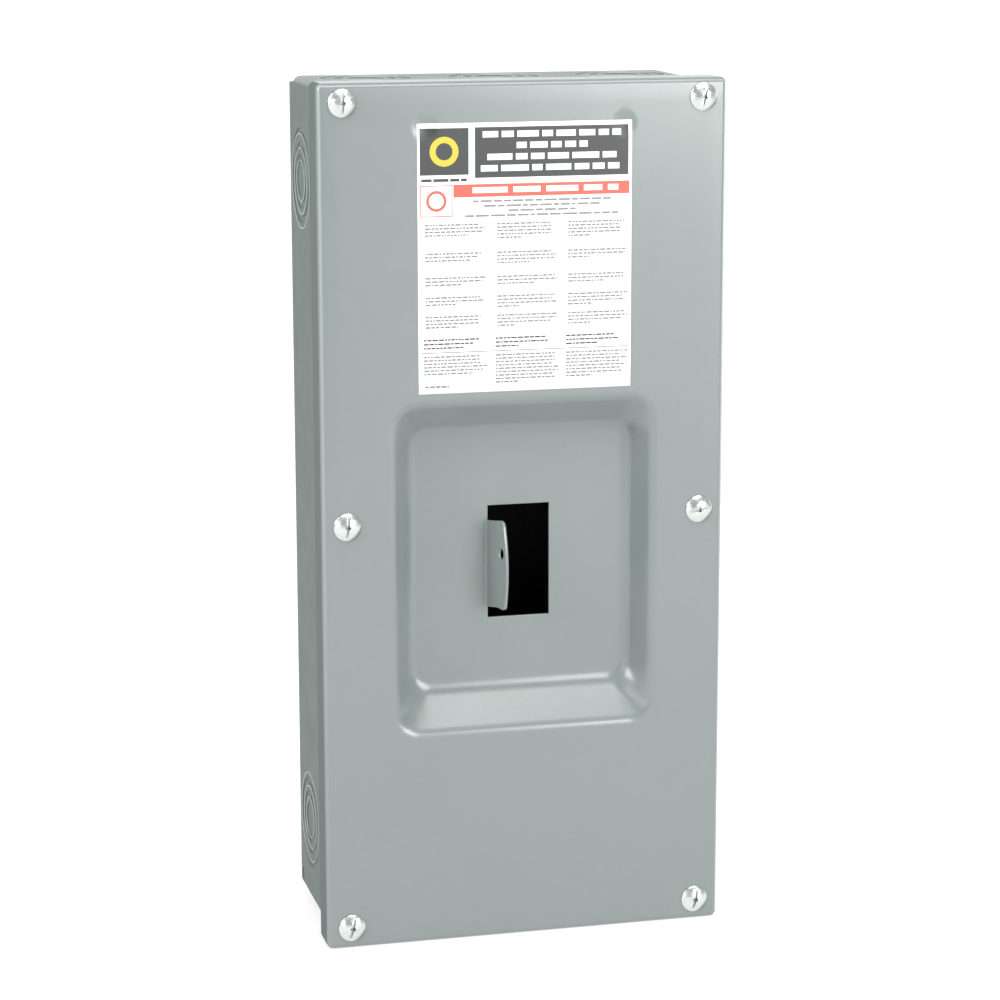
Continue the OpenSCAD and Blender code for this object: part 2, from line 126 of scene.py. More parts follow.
KNOCKOUT_OUT = 33 * MM
KNOCKOUT_UP, KNOCKOUT_DOWN = 45.1 * MM, 50.3 * MM
KNOCKOUT_SPACING = 70 * MM
KNOCKOUT_RADII = 25 * MM, 17.45 * MM, 11.1 * MM
RIM_TUBE = 0.3 * MM


# ---- materials ----

class Shader:
    """A node material with short helpers. Everything is read in object coordinates, in metres."""

    def __init__(self, name, color, rough, metallic=0.0, coat=0.0, coat_rough=0.1):
        self.mat = bpy.data.materials.new(name)
        self.mat.use_nodes = True
        self.nodes = self.mat.node_tree.nodes
        self.links = self.mat.node_tree.links
        self.bsdf = self.nodes["Principled BSDF"]
        self.bsdf.inputs["Base Color"].default_value = (*color, 1)
        self.bsdf.inputs["Roughness"].default_value = rough
        self.bsdf.inputs["Metallic"].default_value = metallic
        self.bsdf.inputs["Coat Weight"].default_value = coat
        self.bsdf.inputs["Coat Roughness"].default_value = coat_rough
        self.coords = self.nodes.new("ShaderNodeTexCoord").outputs["Object"]
        self.color, self.rough = color, rough

    def add(self, kind, **inputs):
        node = self.nodes.new(kind)
        for key, value in inputs.items():
            node.inputs[key].default_value = value
        return node

    def noise(self, scale, detail=3.0, stretch=(1, 1, 1)):
        mapping = self.add("ShaderNodeMapping", Scale=stretch)
        self.links.new(self.coords, mapping.inputs["Vector"])
        noise = self.add("ShaderNodeTexNoise", Scale=scale, Detail=detail)
        self.links.new(mapping.outputs["Vector"], noise.inputs["Vector"])
        return noise.outputs["Fac"]

    def spread(self, value, low, high, from_low=0.3, from_high=0.7):
        node = self.add("ShaderNodeMapRange")
        node.inputs["From Min"].default_value = from_low
        node.inputs["From Max"].default_value = from_high
        node.inputs["To Min"].default_value = low
        node.inputs["To Max"].default_value = high
        self.links.new(value, node.inputs["Value"])
        return node.outputs["Result"]

    def math(self, operation, first, second):
        node = self.add("ShaderNodeMath")
        node.operation = operation
        self.links.new(first, node.inputs[0])
        self.links.new(second, node.inputs[1])
        return node.outputs["Value"]

    def multiply(self, first, second):
        return self.math("MULTIPLY", first, second)

    def either(self, first, second):
        return self.math("MAXIMUM", first, second)

    def vary_color(self, value, other, amount, from_low=0.3, from_high=0.7):
        """Mixes the base colour with another, by up to the given amount."""
        mix = self.nodes.new("ShaderNodeMix")
        mix.data_type = "RGBA"
        base = self.bsdf.inputs["Base Color"]
        if base.links:
            self.links.new(base.links[0].from_socket, mix.inputs["A"])
        else:
            mix.inputs["A"].default_value = (*self.color, 1)
        mix.inputs["B"].default_value = (*other, 1)
        factor = self.spread(value, 0, amount, from_low, from_high)
        self.links.new(factor, mix.inputs["Factor"])
        self.links.new(mix.outputs["Result"], base)

    def vary_rough(self, value, amount):
        low, high = self.rough - amount, self.rough + amount
        self.links.new(self.spread(value, low, high), self.bsdf.inputs["Roughness"])

    def bump(self, value, height, strength=1.0):
        """Adds a bump of the given height in metres on top of any bump already there."""
        node = self.add("ShaderNodeBump", Strength=strength, Distance=height)
        self.links.new(value, node.inputs["Height"])
        normal = self.bsdf.inputs["Normal"]
        if normal.links:
            self.links.new(normal.links[0].from_socket, node.inputs["Normal"])
        self.links.new(node.outputs["Normal"], normal)


def enamel(name, color, rough, coat=0.0, specular=0.5):
    """Baked enamel on sheet steel: a fine orange peel, faint waviness and slight dulling."""
    shader = Shader(name, color, rough, coat=coat, coat_rough=0.2)
    shader.bsdf.inputs["Coat IOR"].default_value = 1.7
    shader.bsdf.inputs["Specular IOR Level"].default_value = specular
    shader.vary_color(shader.noise(14, 4), [c * 0.93 for c in color], 0.5)
    shader.vary_color(shader.noise(420, 2), [c * 1.06 for c in color], 0.35)
    shader.vary_rough(shader.noise(60, 4), 0.05)
    shader.bump(shader.noise(900, 2), 0.00002, 0.5)
    shader.bump(shader.noise(11, 1), 0.0006, 0.5)
    return shader


def cover_enamel(name, color, rough):
    """The cover's enamel: glossy in front; dull and darker on the side flanges, the darker colour
    being painted shade; pale high on the side bends, a painted highlight that fades downward.
    """
    shader = enamel(name, color, rough, coat=0.5)
    split = shader.add("ShaderNodeSeparateXYZ")
    shader.links.new(shader.coords, split.inputs["Vector"])
    edge = COVER_W / 2 - BEND_R
    right = shader.spread(split.outputs["X"], 0, 1, edge, edge + BEND_R * 0.3)
    left = shader.spread(split.outputs["X"], 0, 1, -edge, -edge - BEND_R * 0.3)
    side = shader.either(left, right)
    behind = shader.spread(split.outputs["Y"], 0, 1, FRONT_Y + BEND_R * 0.6, FRONT_Y + BEND_R)
    past_face = shader.spread(split.outputs["Y"], 0, 1,
                              FRONT_Y + BEND_R * 0.08, FRONT_Y + BEND_R * 0.2)
    before_flange = shader.spread(split.outputs["Y"], 1, 0,
                                  FRONT_Y + BEND_R * 0.3, FRONT_Y + BEND_R * 0.6)
    # The painted highlight on the side bends is strongest high on the cover and fades toward the
    # bottom.
    upper = shader.spread(split.outputs["Z"], 0.2, 1,
                          COVER_MID.z - COVER_H * 0.25, COVER_MID.z + COVER_H * 0.4)
    painted_bend_highlight = shader.multiply(shader.multiply(side, upper), shader.multiply(past_face, before_flange))
    flange_painted_shade_and_dulling = shader.multiply(side, behind)
    # Paler colour on the side bends is a painted highlight; darker colour on the side flanges is
    # painted shade.
    shader.vary_color(painted_bend_highlight, [c * 1.7 for c in color], 1, 0, 1)
    shader.vary_color(flange_painted_shade_and_dulling, [c * 0.8 for c in color], 1, 0, 1)
    roughness = shader.bsdf.inputs["Roughness"]
    dulled = shader.either(roughness.links[0].from_socket, shader.spread(flange_painted_shade_and_dulling, 0, 0.6, 0, 1))
    shader.links.new(dulled, roughness)
    for socket, glossy in (("Coat Weight", 0.5), ("Specular IOR Level", 0.5)):
        shader.links.new(shader.spread(flange_painted_shade_and_dulling, glossy, 0, 0, 1), shader.bsdf.inputs[socket])
    return shader


def plated(name, color, rough, grain=1.0, wobble=0.00002, metallic=1.0):
    """Plated steel: slightly uneven, with fine polishing marks and dull, milky patches."""
    shader = Shader(name, color, rough, metallic=metallic)
    shader.vary_color(shader.noise(240, 4), [c * 0.8 for c in color], 0.4)
    shader.vary_rough(shader.noise(500, 4), rough * 0.4)
    shader.bump(shader.noise(700, 2), wobble, 0.8)
    shader.bump(shader.noise(2500, 2, (1, 1, 6)), 0.000004 * grain, 0.5)
    return shader


def screw_plate(name, color, rough):
    """Bright zinc on the screw heads: a little milky, with a painted dark reflection low on the right
    side of each head, which turns with the head.
    """
    shader = plated(name, color, rough, wobble=0.0001, metallic=0.85)
    normal = shader.nodes.new("ShaderNodeTexCoord").outputs["Normal"]
    split = shader.add("ShaderNodeSeparateXYZ")
    shader.links.new(normal, split.inputs["Vector"])
    right = shader.spread(split.outputs["X"], -0.74, 0.74, -1, 1)
    down = shader.spread(split.outputs["Z"], 0.67, -0.67, -1, 1)
    painted_dark_reflection = shader.math("ADD", right, down)
    # The darker colour where the head faces low and right is a painted dark reflection.
    shader.vary_color(painted_dark_reflection, (0.1, 0.12, 0.11), 0.85, 0.4, 0.58)
    return shader


def plastic(name, color, rough):
    """Moulded plastic or fibre: matt, with a fine grain."""
    shader = Shader(name, color, rough)
    shader.vary_color(shader.noise(180, 4), [c * 1.5 for c in color], 0.4)
    shader.vary_rough(shader.noise(300, 3), 0.08)
    shader.bump(shader.noise(1500, 3), 0.00003, 0.6)
    return shader


def printed(name, color):
    """Printed film: satin, with a faint unevenness of the ink or paper."""
    shader = Shader(name, color, 0.42, coat=0.15, coat_rough=0.3)
    shader.vary_color(shader.noise(300, 4), [c * 0.95 for c in color], 0.5)
    shader.vary_rough(shader.noise(90, 3), 0.06)
    shader.bump(shader.noise(500, 2), 0.00001, 0.5)
    return shader


SHADERS = {
    # The box body's enamel is a darker copy of the cover's paint: painted shade. The end walls keep a
    # lighter copy.
    "box_paint": enamel("box_enamel", (0.124, 0.15, 0.14), 0.55, specular=0.12),
    # Pale enamel for the knockout rims: its colour is a painted highlight along the knockout edges.
    "box_edges": enamel("rubbed_edge_enamel", (0.36, 0.4, 0.385), 0.45),
    "end_wall_paint": enamel("end_wall_enamel", (0.184, 0.216, 0.205), 0.45, specular=0.3),
    "cover_paint": cover_enamel("cover_enamel", (0.178, 0.209, 0.203), 0.33),
    # The black enamel and black fibre inside are the parts' own dark colour, also kept near black as
    # painted shade for the inside seen through the cut-out.
    "dark_paint": enamel("black_enamel", (0.02, 0.021, 0.021), 0.45),
    "bright_zinc": screw_plate("bright_zinc_plate", (0.64, 0.68, 0.66), 0.27),
    "zinc_shadow": plated("zinc_in_the_slot", (0.4, 0.42, 0.41), 0.4),
    "zinc_plate": plated("zinc_plate", (0.6, 0.61, 0.62), 0.3),
    "tinned_aluminium": plated("tinned_aluminium", (0.72, 0.73, 0.72), 0.34, grain=3.0),
    "copper": plated("copper_strap", (0.72, 0.40, 0.23), 0.32, grain=3.0),
    "green_screw": enamel("green_enamel", (0.04, 0.2, 0.08), 0.4),
    "black_fibre": plastic("black_fibre", (0.006, 0.006, 0.006), 0.8),
    "black_plastic": plastic("black_plastic", (0.016, 0.016, 0.018), 0.55),
    "label_film": printed("label_film", (0.88, 0.88, 0.87)),
}
MATERIALS = {slot: shader.mat for slot, shader in SHADERS.items()}


# ---- mesh helpers ----

def make_object(name, verts, faces, body, slot):
    mesh = bpy.data.meshes.new(name)
    mesh.from_pydata([tuple(v) for v in verts], [], faces)
    mesh.validate()
    obj = bpy.data.objects.new(name, mesh)
    bpy.context.scene.collection.objects.link(obj)
    finish_object(obj, body, slot)
    return obj


def finish_object(obj, body, slot):
    """Gives the piece its material and its body, and smooths its curved faces."""
    obj.data.materials.clear()
    obj.data.materials.append(MATERIALS[slot])
    for polygon in obj.data.polygons:
        polygon.use_smooth = True
    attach(obj, body)


def add_modifier(obj, name, kind, **settings):
    modifier = obj.modifiers.new(name, kind)
    for key, value in settings.items():
        setattr(modifier, key, value)
    return modifier


def apply_modifiers(obj):
    """Replaces the mesh by its evaluated self and drops the modifiers."""
    graph = bpy.context.evaluated_depsgraph_get()
    mesh = bpy.data.meshes.new_from_object(obj.evaluated_get(graph))
    obj.modifiers.clear()
    obj.data = mesh


def merge_lines(exact, *groups):
    """Sorted grid lines without near doubles; the exact ones are always kept."""
    kept = list(exact)
    for value in (value for group in groups for value in group):
        if min(abs(value - other) for other in kept) > 0.25 * MM:
            kept.append(value)
    return sorted(kept)


def span(low, high, step):
    count = max(1, round((high - low) / step))
    return [low + (high - low) * i / count for i in range(count + 1)]


# ---- cover ----

def rounded_distance(x, z, w, h, r):
    """Distance outside a rounded rectangle centred on the origin; negative inside."""
    dx = abs(x) - w / 2 + r
    dz = abs(z) - h / 2 + r
    outside = math.hypot(max(dx, 0), max(dz, 0))
    return outside + min(max(dx, dz), 0) - r


def wall_depth(at, run):
    """Depth at a distance from the recess's edge, on a wall that runs so far to the floor.

    Two fillets are joined by a straight slope; the fillets grow with the run.
    """
    lip, foot = LIP_FILLET * run / SIDE_RUN, FLOOR_FILLET * run / SIDE_RUN
    extra = lip + foot - RECESS_DEPTH
    slope = math.asin((lip + foot) / math.hypot(run, extra)) - math.atan2(extra, run)
    if at < lip * math.sin(slope):
        return lip - math.sqrt(lip ** 2 - at ** 2)
    if run - at < foot * math.sin(slope):
        return RECESS_DEPTH - foot + math.sqrt(foot ** 2 - (run - at) ** 2)
    along = at - lip * math.sin(slope)
    return lip * (1 - math.cos(slope)) + along * math.tan(slope)


def recess_depth(x, z):
    """Depth of the pressed recess below the front face."""
    outer = -rounded_distance(x, z - RECESS_Z, RECESS_W, RECESS_H, RECESS_R)
    inner = rounded_distance(x, z - FLOOR_Z, FLOOR_W, FLOOR_H, FLOOR_R)
    if outer <= 0:
        return 0.0
    if inner <= 0:
        return RECESS_DEPTH
    return wall_depth(outer, outer + inner)


def dent_depth(x, z):
    """Depth of the two shallow round dents."""
    away = math.hypot(abs(x) - DENT_X, z - DENT_Z) / DENT_R
    if away >= 1:
        return 0.0
    return DENT_DEPTH * (0.5 + 0.5 * math.cos(math.pi * away)) ** 0.8


def face_depth(x, z):
    return recess_depth(x, z) + dent_depth(x, z)


def bend_profile():
    """(outward, back) along the cover's edge: a quarter bend and the flange behind it."""
    steps = 8
    arc = [math.pi / 2 * i / steps for i in range(1, steps + 1)]
    points = [(BEND_R * math.sin(a), BEND_R * (1 - math.cos(a))) for a in arc]
    points += [(BEND_R, back) for back in span(BEND_R, FLANGE, 6 * MM)[1:]]
    return points


def build_cover():
    half_w, half_h = COVER_W / 2 - BEND_R, COVER_H / 2 - BEND_R
    fine = 1.1 * MM
    x_edge = RECESS_W / 2 + 3 * MM
    z_edge = RECESS_H / 2 + 3 * MM
    tab_x = -CUTOUT_W / 2 - TAB_BEND_R
    xs = merge_lines([-half_w, half_w, -CUTOUT_W / 2, CUTOUT_W / 2, tab_x],
                     span(-half_w, half_w, 9 * MM), span(-x_edge, -CUTOUT_W / 2, fine),
                     span(CUTOUT_W / 2, x_edge, fine),
                     span(-CUTOUT_W / 2, CUTOUT_W / 2, 4 * MM),
                     *(span(s * DENT_X - DENT_R, s * DENT_X + DENT_R, 0.8 * MM) for s in (-1, 1)))
    cut_low, cut_high = RECESS_Z - CUTOUT_H / 2, RECESS_Z + CUTOUT_H / 2
    low, high = COVER_MID.z - half_h, COVER_MID.z + half_h
    zs = merge_lines([low, high, cut_low, cut_high, TAB_TOP, TAB_TOP - TAB_H], span(low, high, 9 * MM),
                     span(RECESS_Z - z_edge, cut_low, fine), span(cut_high, RECESS_Z + z_edge, fine),
                     span(cut_low, cut_high, 4 * MM), span(DENT_Z - DENT_R, DENT_Z + DENT_R, 0.8 * MM))
    verts, faces, index = [], [], {}

    def point(i, j):
        if (i, j) not in index:
            index[i, j] = len(verts)
            verts.append((xs[i], FRONT_Y + face_depth(xs[i], zs[j]), zs[j]))
        return index[i, j]

    for i in range(len(xs) - 1):
        for j in range(len(zs) - 1):
            x, z = (xs[i] + xs[i + 1]) / 2, (zs[j] + zs[j + 1]) / 2
            in_cutout = abs(x) < CUTOUT_W / 2 and cut_low < z < cut_high
            in_tab = tab_x < x < 0 and TAB_TOP - TAB_H < z < TAB_TOP
            if not (in_cutout or in_tab):
                faces.append((point(i, j), point(i + 1, j), point(i + 1, j + 1), point(i, j + 1)))
    add_flanges(verts, faces, point, len(xs) - 1, len(zs) - 1)
    add_tab(verts, faces, tab_x)
    cover = make_object("pan_cover", verts, faces, "cover", "cover_paint")
    add_modifier(cover, "weld", "WELD", merge_threshold=0.00001)
    add_modifier(cover, "sheet", "SOLIDIFY", thickness=SHEET, offset=-1, use_even_offset=True)
    apply_modifiers(cover)
    add_modifier(cover, "soften", "BEVEL", width=0.25 * MM, segments=2, limit_method="ANGLE",
                 angle_limit=math.radians(50))
    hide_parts("cover", "padlock_tab")


def add_flanges(verts, faces, point, last_i, last_j):
    """Bends the face's border back into flanges, with a rounded corner where two meet."""
    corner_steps = 6
    border = [(i, 0, 0, -1) for i in range(last_i + 1)]
    border += [(last_i, j, 1, 0) for j in range(last_j + 1)]
    border += [(i, last_j, 0, 1) for i in range(last_i, -1, -1)]
    border += [(0, j, -1, 0) for j in range(last_j, -1, -1)]
    ring = []
    for k, (i, j, out_x, out_z) in enumerate(border):
        ring.append((point(i, j), out_x, out_z))
        following = border[(k + 1) % len(border)]
        if following[:2] == (i, j):
            for step in range(1, corner_steps):
                turn = math.atan2(out_z, out_x) + math.pi / 2 * step / corner_steps
                ring.append((point(i, j), math.cos(turn), math.sin(turn)))
    profile = bend_profile()
    rows = [[start for start, _, _ in ring]]
    for outward, back in profile:
        row = []
        for start, out_x, out_z in ring:
            base = verts[start]
            row.append(len(verts))
            verts.append((base[0] + out_x * outward, FRONT_Y + back, base[2] + out_z * outward))
        rows.append(row)
    for upper, lower in zip(rows, rows[1:]):
        for k in range(len(ring)):
            following = (k + 1) % len(ring)
            face = [upper[k], lower[k], lower[following], upper[following]]
            faces.append(tuple(dict.fromkeys(face)))


def add_tab(verts, faces, tab_x):
    """The padlock tab, bent forward out of the recess floor, with a bowed edge and a hole."""
    floor_y = FRONT_Y + RECESS_DEPTH
    turn = math.pi / 2 - TAB_LEAN
    steps = 10
    low, high = TAB_TOP - TAB_H, TAB_TOP
    rows = []
    for step in range(steps + 1):
        angle = turn * step / steps
        x = tab_x + TAB_BEND_R * math.sin(angle)
        y = floor_y - TAB_BEND_R * (1 - math.cos(angle))
        rows.append((len(verts), len(verts) + 1))
        verts += [(x, y, low), (x, y, high)]
    for (a, b), (c, d) in zip(rows, rows[1:]):
        faces.append((a, c, d, b))
    root_x = tab_x + TAB_BEND_R * math.sin(turn)
    root_y = floor_y - TAB_BEND_R * (1 - math.cos(turn))
    reach = TAB_REACH - (floor_y - root_y)
    outline = tab_outline(reach, low, high)
    hole_out, hole_z = reach - PADLOCK_FROM_EDGE, (low + high) / 2 + PADLOCK_ABOVE_MIDDLE
    hole = [(hole_out + PADLOCK_R * math.cos(a), hole_z + PADLOCK_R * math.sin(a))
            for a in (math.tau * k / 40 for k in range(40))]
    flat = bmesh.new()
    for loop in (outline, hole):
        ring = [flat.verts.new((root_x + out * math.sin(TAB_LEAN), root_y - out * math.cos(TAB_LEAN),
                                z + TAB_SLANT * out)) for out, z in loop]
        for a, b in zip(ring, ring[1:] + ring[:1]):
            flat.edges.new((a, b))
    bmesh.ops.triangle_fill(flat, use_beauty=True, edges=flat.edges[:])
    bmesh.ops.recalc_face_normals(flat, faces=flat.faces[:])
    flat.verts.index_update()
    facing = Vector((-math.cos(TAB_LEAN), -math.sin(TAB_LEAN), 0))
    offset = len(verts)
    verts += [tuple(v.co) for v in flat.verts]
    for face in flat.faces:
        ids = [v.index + offset for v in face.verts]
        if face.normal.dot(facing) < 0:
            ids.reverse()
        faces.append(tuple(ids))
    flat.free()


def tab_outline(reach, low, high):
    """(outward, height) round the tab's flat part: a bowed outer edge that hooks down at its foot."""
    mid, half = (low + high) / 2 - 4 * MM, (high - low) / 2
    foot = low - TAB_HOOK

    def edge(z):
        return reach - TAB_BOW * ((z - mid) / half) ** 2

    foot_edge = edge(foot + TAB_FOOT_R)
    top_edge = edge(high - TAB_TOP_R)
    points = [(0, low), (reach * 0.5, low), (foot_edge - TAB_FOOT_R, foot)]
    for k in range(1, 6):
        angle = math.pi / 2 * k / 6
        points.append((foot_edge - TAB_FOOT_R * (1 - math.sin(angle)),
                       foot + TAB_FOOT_R * (1 - math.cos(angle))))
    points += [(edge(z), z) for z in span(foot + TAB_FOOT_R, high - TAB_TOP_R, 2.5 * MM)]
    for k in range(1, 8):
        angle = math.pi / 2 * k / 8
        points.append((top_edge - TAB_TOP_R * (1 - math.cos(angle)),
                       high - TAB_TOP_R * (1 - math.sin(angle))))
    points += [(top_edge - TAB_TOP_R, high), (0, high)]
    return points


# ---- cover screws ----

def dome_radius(radius, height):
    dome = height - HEAD_RIM
    return (radius ** 2 + dome ** 2) / (2 * dome)


def is_in_slot(point, radius, height):
    """True for a point of the head that lies below its dome and inside its rim."""
    away = math.hypot(point.x, point.z)
    dome_r = dome_radius(radius, height)
    if away > radius * 0.93 or -point.y < HEAD_RIM:
        return False
    surface = height - dome_r + math.sqrt(dome_r ** 2 - away ** 2)
    return -point.y < surface - 0.12 * MM


def head_profile(radius, height):
    """(radius, forward) of a truss head from its rim's back edge to its crown."""
    dome_r = dome_radius(radius, height)
    reach = math.asin(radius / dome_r)
    points = [(radius - 0.25 * MM, 0), (radius, 0.2 * MM)]
    for k in range(15):
        angle = reach * (1 - k / 15)
        points.append((dome_r * math.sin(angle), height - dome_r * (1 - math.cos(angle))))
    return points


def revolve(profile, name):
    """A closed solid from (radius, forward) pairs, its axis along -Y through the origin."""
    segments = 72
    mesh = bmesh.new()
    rows = []
    for radius, forward in profile:
        rows.append([mesh.verts.new((radius * math.cos(a), -forward, radius * math.sin(a)))
                     for a in (math.tau * k / segments for k in range(segments))])
    for lower, upper in zip(rows, rows[1:]):
        for k in range(segments):
            following = (k + 1) % segments
            mesh.faces.new((lower[k], lower[following], upper[following], upper[k]))
    mesh.faces.new(list(reversed(rows[0])))
    mesh.faces.new(rows[-1])
    bmesh.ops.recalc_face_normals(mesh, faces=mesh.faces[:])
    data = bpy.data.meshes.new(name)
    mesh.to_mesh(data)
    mesh.free()
    obj = bpy.data.objects.new(name, data)
    bpy.context.scene.collection.objects.link(obj)
    return obj


def cutter_box(name, size_x, size_z, forward_low, forward_high, taper=1.0):
    """A block that cuts a slot; its deep end is scaled by taper."""
    verts = []
    for forward, scale in ((forward_low, taper), (forward_high, 1.0)):
        for sx, sz in ((-1, -1), (1, -1), (1, 1), (-1, 1)):
            verts.append((sx * size_x / 2 * scale, -forward, sz * size_z / 2 * scale))
    faces = [(0, 1, 2, 3), (7, 6, 5, 4), (0, 4, 5, 1), (1, 5, 6, 2), (2, 6, 7, 3), (3, 7, 4, 0)]
    mesh = bpy.data.meshes.new(name)
    mesh.from_pydata(verts, [], faces)
    mesh.update()
    fixer = bmesh.new()
    fixer.from_mesh(mesh)
    bmesh.ops.recalc_face_normals(fixer, faces=fixer.faces[:])
    fixer.to_mesh(mesh)
    fixer.free()
    obj = bpy.data.objects.new(name, mesh)
    bpy.context.scene.collection.objects.link(obj)
    return obj


def build_screw(node, turn):
    low, high = (Vector(corner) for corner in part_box(node))
    centre = (low + high) / 2
    radius = (high.x - low.x) / 2
    height = FRONT_Y - low.y
    shank = high.y - FRONT_Y
    profile = [(SHANK_TIP_R, -shank), (SHANK_R - 0.6 * MM, -shank + 0.4 * MM)]
    for k in range(int((shank - 3 * MM) / THREAD_PITCH)):
        back = shank - 1.2 * MM - k * THREAD_PITCH
        profile += [(SHANK_R, -back), (SHANK_R - THREAD_DEPTH, -back + THREAD_PITCH / 2)]
    profile += [(SHANK_R, -1.5 * MM), (SHANK_R, 0)] + head_profile(radius, height)
    screw = revolve(profile, "bright_" + node)
    slot = cutter_box("slot", SLOT_W, 2.4 * radius, height - SLOT_DEPTH, height + 2 * MM)
    cross = cutter_box("cross", CROSS_W, CROSS_H, height - CROSS_DEPTH, height + 2 * MM, 0.4)
    pit = cutter_box("pit", PIT_W, PIT_W, height - PIT_DEPTH, height + 1 * MM, 0.35)
    for cutter in (slot, cross, pit):
        add_modifier(screw, cutter.name, "BOOLEAN", operation="DIFFERENCE", solver="EXACT",
                     object=cutter)
    apply_modifiers(screw)
    for cutter in (slot, cross, pit):
        bpy.data.objects.remove(cutter)
    inside = [is_in_slot(polygon.center, radius, height) for polygon in screw.data.polygons]
    screw.data.transform(Matrix.Rotation(turn, 4, "Y"))
    screw.data.transform(Matrix.Translation((centre.x, FRONT_Y, centre.z)))
    finish_object(screw, node, "bright_zinc")
    screw.data.materials.append(MATERIALS["zinc_shadow"])
    for polygon, in_slot in zip(screw.data.polygons, inside):
        polygon.material_index = 1 if in_slot else 0
    add_modifier(screw, "soften", "BEVEL", width=0.16 * MM, segments=2, limit_method="ANGLE",
                 angle_limit=math.radians(35))
    add_modifier(screw, "shading", "WEIGHTED_NORMAL", keep_sharp=True)
    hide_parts(node)


# ---- label ----

def label_point(u, v, lift):
    """A point u across and v down the label, lifted off the cover, following its dents."""
    x = LABEL_LOW.x + u
    z = LABEL_HIGH.z - v
    return (x, FRONT_Y - lift + dent_depth(x, z), z)


def build_label():
    width, height = LABEL_HIGH.x - LABEL_LOW.x, LABEL_HIGH.z - LABEL_LOW.z
    us = merge_lines([0, width], span(0, 14 * MM, 0.8 * MM), span(14 * MM, width - 14 * MM, 8 * MM),
                     span(width - 14 * MM, width, 0.8 * MM))
    vs = merge_lines([0, height], span(0, 12 * MM, 0.8 * MM), span(12 * MM, height, 8 * MM))
    verts = [label_point(u, v, LABEL_LIFT) for v in vs for u in us]
    count = len(us)
    faces = [(j * count + i, (j + 1) * count + i, (j + 1) * count + i + 1, j * count + i + 1)
             for j in range(len(vs) - 1) for i in range(count - 1)]
    label = make_object("instruction_sheet", verts, faces, "cover", "label_film")
    add_modifier(label, "film", "SOLIDIFY", thickness=FILM, offset=-1)
    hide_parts("instruction_label")


class Print:
    """Flat printed shapes of one ink on the label, in millimetres across and down from its corner."""

    def __init__(self, lift):
        self.verts, self.faces, self.lift = [], [], lift

    def quad(self, u0, v0, u1, v1):
        start = len(self.verts)
        for u, v in ((u0, v0), (u0, v1), (u1, v1), (u1, v0)):
            self.verts.append(label_point(u * MM, v * MM, self.lift))
        self.faces.append((start, start + 1, start + 2, start + 3))

    def block(self, u0, v0, u1, v1):
        """A filled rectangle, cut finely where it may lie over a dent."""
        step = 1.2 if v0 < 10 else 40
        us, vs = span(u0, u1, step), span(v0, v1, step)
        for ua, ub in zip(us, us[1:]):
            for va, vb in zip(vs, vs[1:]):
                self.quad(ua, va, ub, vb)

    def line(self, rng, u0, u1, v, thick, word=(0.9, 3.2), space=0.42):
        """One row of short bars that stands for a line of print."""
        while u0 < u1 - 0.6:
            end = min(u0 + rng.uniform(*word), u1)
            self.block(u0, v, end, v + thick)
            u0 = end + space

    def paragraph(self, rng, u0, u1, v, count, pitch=1.78, thick=0.92):
        for row in range(count):
            full = rng.uniform(0.86, 1.0) if row < count - 1 else rng.uniform(0.25, 0.8)
            self.line(rng, u0, u0 + (u1 - u0) * full, v + row * pitch, thick)

    def centred(self, rng, middle, width, v, thick, word, space):
        self.line(rng, middle - width / 2, middle + width / 2, v, thick, word, space)

    def ring(self, u, v, outer, inner):
        start, count = len(self.verts), 48
        for k in range(count):
            angle = math.tau * k / count
            for r in (outer, inner):
                self.verts.append(label_point((u + r * math.cos(angle)) * MM,
                                              (v + r * math.sin(angle)) * MM, self.lift))
        for k in range(count):
            a, b = start + 2 * k, start + 2 * ((k + 1) % count)
            self.faces.append((a, a + 1, b + 1, b))

    def frame(self, u0, v0, u1, v1, thick):
        self.block(u0, v0, u1, v0 + thick)
        self.block(u0, v1 - thick, u1, v1)
        self.block(u0, v0 + thick, u0 + thick, v1 - thick)
        self.block(u1 - thick, v0 + thick, u1, v1 - thick)

    def make(self, name, color):
        mesh = bpy.data.meshes.new(name)
        mesh.from_pydata(self.verts, [], self.faces)
        mesh.validate()
        obj = bpy.data.objects.new(name, mesh)
        bpy.context.scene.collection.objects.link(obj)
        obj.data.materials.append(printed(name, color).mat)
        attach(obj, "cover")


